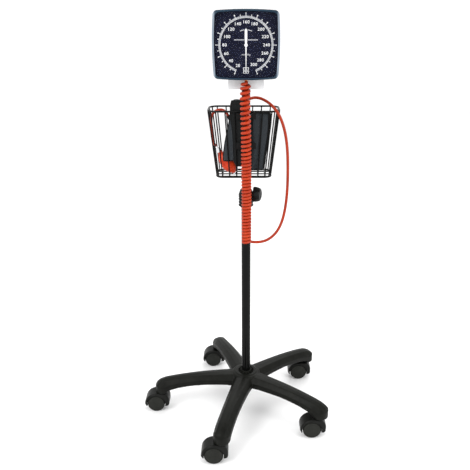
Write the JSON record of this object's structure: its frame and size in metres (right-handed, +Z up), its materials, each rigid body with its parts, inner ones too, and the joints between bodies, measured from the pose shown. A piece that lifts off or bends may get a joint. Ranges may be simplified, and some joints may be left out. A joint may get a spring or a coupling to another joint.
{
  "type": "upper arm blood pressure monitor",
  "caption": "Mobile aneroid blood pressure monitor: square dial gauge and curly hose on a height-adjustable pole with a caster base, a wire basket holding the folded arm cuff and bulb.",
  "frame": {"origin": "where the pole's axis meets the floor, at the foot of the casters' wheels", "axes": "+Z up along the pole, -Y out of the gauge's face, +X to the right seen from the front"},
  "size_m": [0.5361, 0.519, 1.139],
  "materials": {
    "base_plastic": "moulded, fine grain",
    "black_plastic": "satin moulded",
    "wheel_plastic": "satin, worn tread",
    "fastener_steel": "zinc plated",
    "pole_black": "black powder coat, semi gloss",
    "bush_nylon": "natural nylon",
    "bracket_metal": "light grey powder coat",
    "case_plastic": "navy, fine grain",
    "clear_plastic": "polished",
    "dial_face": "navy with white print",
    "pointer_white": "white enamel",
    "brass": "turned",
    "spring_bronze": "rolled",
    "inner_rubber": "matte",
    "basket_wire": "black coated wire",
    "cuff_dark": "woven nylon",
    "cuff_blue": "woven nylon",
    "cuff_sleeve": "woven nylon",
    "bulb_rubber": "smooth",
    "hose_rubber": "smooth",
    "valve_chrome": "polished"
  },
  "bodies": {
    "base": {"base_star": "base_plastic", "base_bolt": "fastener_steel", "caster_stems": "fastener_steel", "lower_pole": "pole_black", "pole_foot_plug": "black_plastic", "clamp_collar": "black_plastic", "collar_bush": "bush_nylon"},
    "clamp_knob_body": {"clamp_knob": "black_plastic", "clamp_screw": "fastener_steel"},
    "upper": {"upper_pole": "pole_black", "pole_guide": "bush_nylon", "pole_cap": "black_plastic", "gauge_bracket": "bracket_metal", "bracket_clamp_cap": "bracket_metal", "bracket_screws": "fastener_steel", "gauge_case": "case_plastic", "gauge_lens": "clear_plastic", "dial_plate": "dial_face", "movement_front_plate": "brass", "movement_back_plate": "brass", "hairspring": "spring_bronze", "capsule": "spring_bronze", "capsule_bracket": "bracket_metal", "hose_port": "brass", "inner_tube": "inner_rubber", "basket_top_rim": "basket_wire", "basket_floor_rim": "basket_wire", "basket_uprights": "basket_wire", "basket_floor": "basket_wire", "basket_clamps": "black_plastic", "basket_screws": "fastener_steel", "cuff_tall_fold": "cuff_dark", "cuff_short_fold": "cuff_blue", "cuff_sleeves": "cuff_sleeve", "bulb": "bulb_rubber", "valve_body": "valve_chrome", "bulb_end_valve": "valve_chrome", "hose_coil": "hose_rubber", "hose_tail": "hose_rubber", "bulb_tube": "hose_rubber"},
    "sector": {"sector_gear": "brass"},
    "indicator": {"pointer": "pointer_white", "pointer_arbor": "brass"},
    "rod": {"push_rod": "brass"},
    "release_screw": {"valve_screw": "valve_chrome"},
    "caster_1": {"caster_1_hood": "black_plastic"},
    "caster_1_near": {"caster_1_wheel_near": "wheel_plastic"},
    "caster_1_far": {"caster_1_wheel_far": "wheel_plastic"},
    "caster_2": {"caster_2_hood": "black_plastic"},
    "caster_2_near": {"caster_2_wheel_near": "wheel_plastic"},
    "caster_2_far": {"caster_2_wheel_far": "wheel_plastic"},
    "caster_3": {"caster_3_hood": "black_plastic"},
    "caster_3_near": {"caster_3_wheel_near": "wheel_plastic"},
    "caster_3_far": {"caster_3_wheel_far": "wheel_plastic"},
    "caster_4": {"caster_4_hood": "black_plastic"},
    "caster_4_near": {"caster_4_wheel_near": "wheel_plastic"},
    "caster_4_far": {"caster_4_wheel_far": "wheel_plastic"},
    "caster_5": {"caster_5_hood": "black_plastic"},
    "caster_5_near": {"caster_5_wheel_near": "wheel_plastic"},
    "caster_5_far": {"caster_5_wheel_far": "wheel_plastic"}
  },
  "joints": [
    {"name": "height_slide", "type": "slide", "parent": "base", "child": "upper", "axis": [0, 0, 1], "range_m": [-0.1, 0.09]},
    {"name": "clamp_knob_turn", "type": "hinge", "parent": "base", "child": "clamp_knob_body", "pos_m": [0, 0, 0.6747], "axis": [0.9613, -0.2756, 0], "range_deg": [0, 360]},
    {"name": "sector_turn", "type": "hinge", "parent": "upper", "child": "sector", "pos_m": [0.04405, -0.039, 1.058], "axis": [0, 1, 0], "range_deg": [-33.75, 0]},
    {"name": "pointer_turn", "type": "hinge", "parent": "upper", "child": "indicator", "pos_m": [0, -0.045, 1.058], "axis": [0, 1, 0], "range_deg": [0, 337.5]},
    {"name": "push_rod_lift", "type": "slide", "parent": "upper", "child": "rod", "axis": [0, 0, 1], "range_m": [0, 0.00354], "deforming": ["capsule"]},
    {"name": "release_screw_turn", "type": "hinge", "parent": "upper", "child": "release_screw", "pos_m": [-0.07576, 0.05, 0.78517], "axis": [0, -1, 0], "range_deg": [0, 360]},
    {"name": "caster_1_swivel", "type": "hinge", "parent": "base", "child": "caster_1", "pos_m": [-0.24816, -0.013, 0.055], "axis": [0, 0, 1], "continuous": true},
    {"name": "caster_1_near_spin", "type": "hinge", "parent": "caster_1", "child": "caster_1_near", "pos_m": [-0.27016, -0.0255, 0.026], "axis": [0, 1, 0], "continuous": true},
    {"name": "caster_1_far_spin", "type": "hinge", "parent": "caster_1", "child": "caster_1_far", "pos_m": [-0.27016, -0.00051, 0.026], "axis": [0, 1, 0], "continuous": true},
    {"name": "caster_2_swivel", "type": "hinge", "parent": "base", "child": "caster_2", "pos_m": [-0.06432, -0.24003, 0.055], "axis": [0, 0, 1], "continuous": true},
    {"name": "caster_2_near_spin", "type": "hinge", "parent": "caster_2", "child": "caster_2_near", "pos_m": [-0.08632, -0.25253, 0.026], "axis": [0, 1, 0], "continuous": true},
    {"name": "caster_2_far_spin", "type": "hinge", "parent": "caster_2", "child": "caster_2_far", "pos_m": [-0.08632, -0.22753, 0.026], "axis": [0, 1, 0], "continuous": true},
    {"name": "caster_3_swivel", "type": "hinge", "parent": "base", "child": "caster_3", "pos_m": [0.20841, -0.13534, 0.055], "axis": [0, 0, 1], "continuous": true},
    {"name": "caster_3_near_spin", "type": "hinge", "parent": "caster_3", "child": "caster_3_near", "pos_m": [0.18641, -0.14784, 0.026], "axis": [0, 1, 0], "continuous": true},
    {"name": "caster_3_far_spin", "type": "hinge", "parent": "caster_3", "child": "caster_3_far", "pos_m": [0.18641, -0.12284, 0.026], "axis": [0, 1, 0], "continuous": true},
    {"name": "caster_4_swivel", "type": "hinge", "parent": "base", "child": "caster_4", "pos_m": [0.19312, 0.15639, 0.055], "axis": [0, 0, 1], "continuous": true},
    {"name": "caster_4_near_spin", "type": "hinge", "parent": "caster_4", "child": "caster_4_near", "pos_m": [0.17112, 0.14389, 0.026], "axis": [0, 1, 0], "continuous": true},
    {"name": "caster_4_far_spin", "type": "hinge", "parent": "caster_4", "child": "caster_4_far", "pos_m": [0.17112, 0.16889, 0.026], "axis": [0, 1, 0], "continuous": true},
    {"name": "caster_5_swivel", "type": "hinge", "parent": "base", "child": "caster_5", "pos_m": [-0.08905, 0.232, 0.055], "axis": [0, 0, 1], "continuous": true},
    {"name": "caster_5_near_spin", "type": "hinge", "parent": "caster_5", "child": "caster_5_near", "pos_m": [-0.11105, 0.21949, 0.026], "axis": [0, 1, 0], "continuous": true},
    {"name": "caster_5_far_spin", "type": "hinge", "parent": "caster_5", "child": "caster_5_far", "pos_m": [-0.11105, 0.24449, 0.026], "axis": [0, 1, 0], "continuous": true}
  ],
  "couplings": [
    {"joint": "pointer_turn", "follows": "sector_turn", "ratio": -10},
    {"joint": "push_rod_lift", "follows": "sector_turn", "m_per_rad": -0.006}
  ]
}
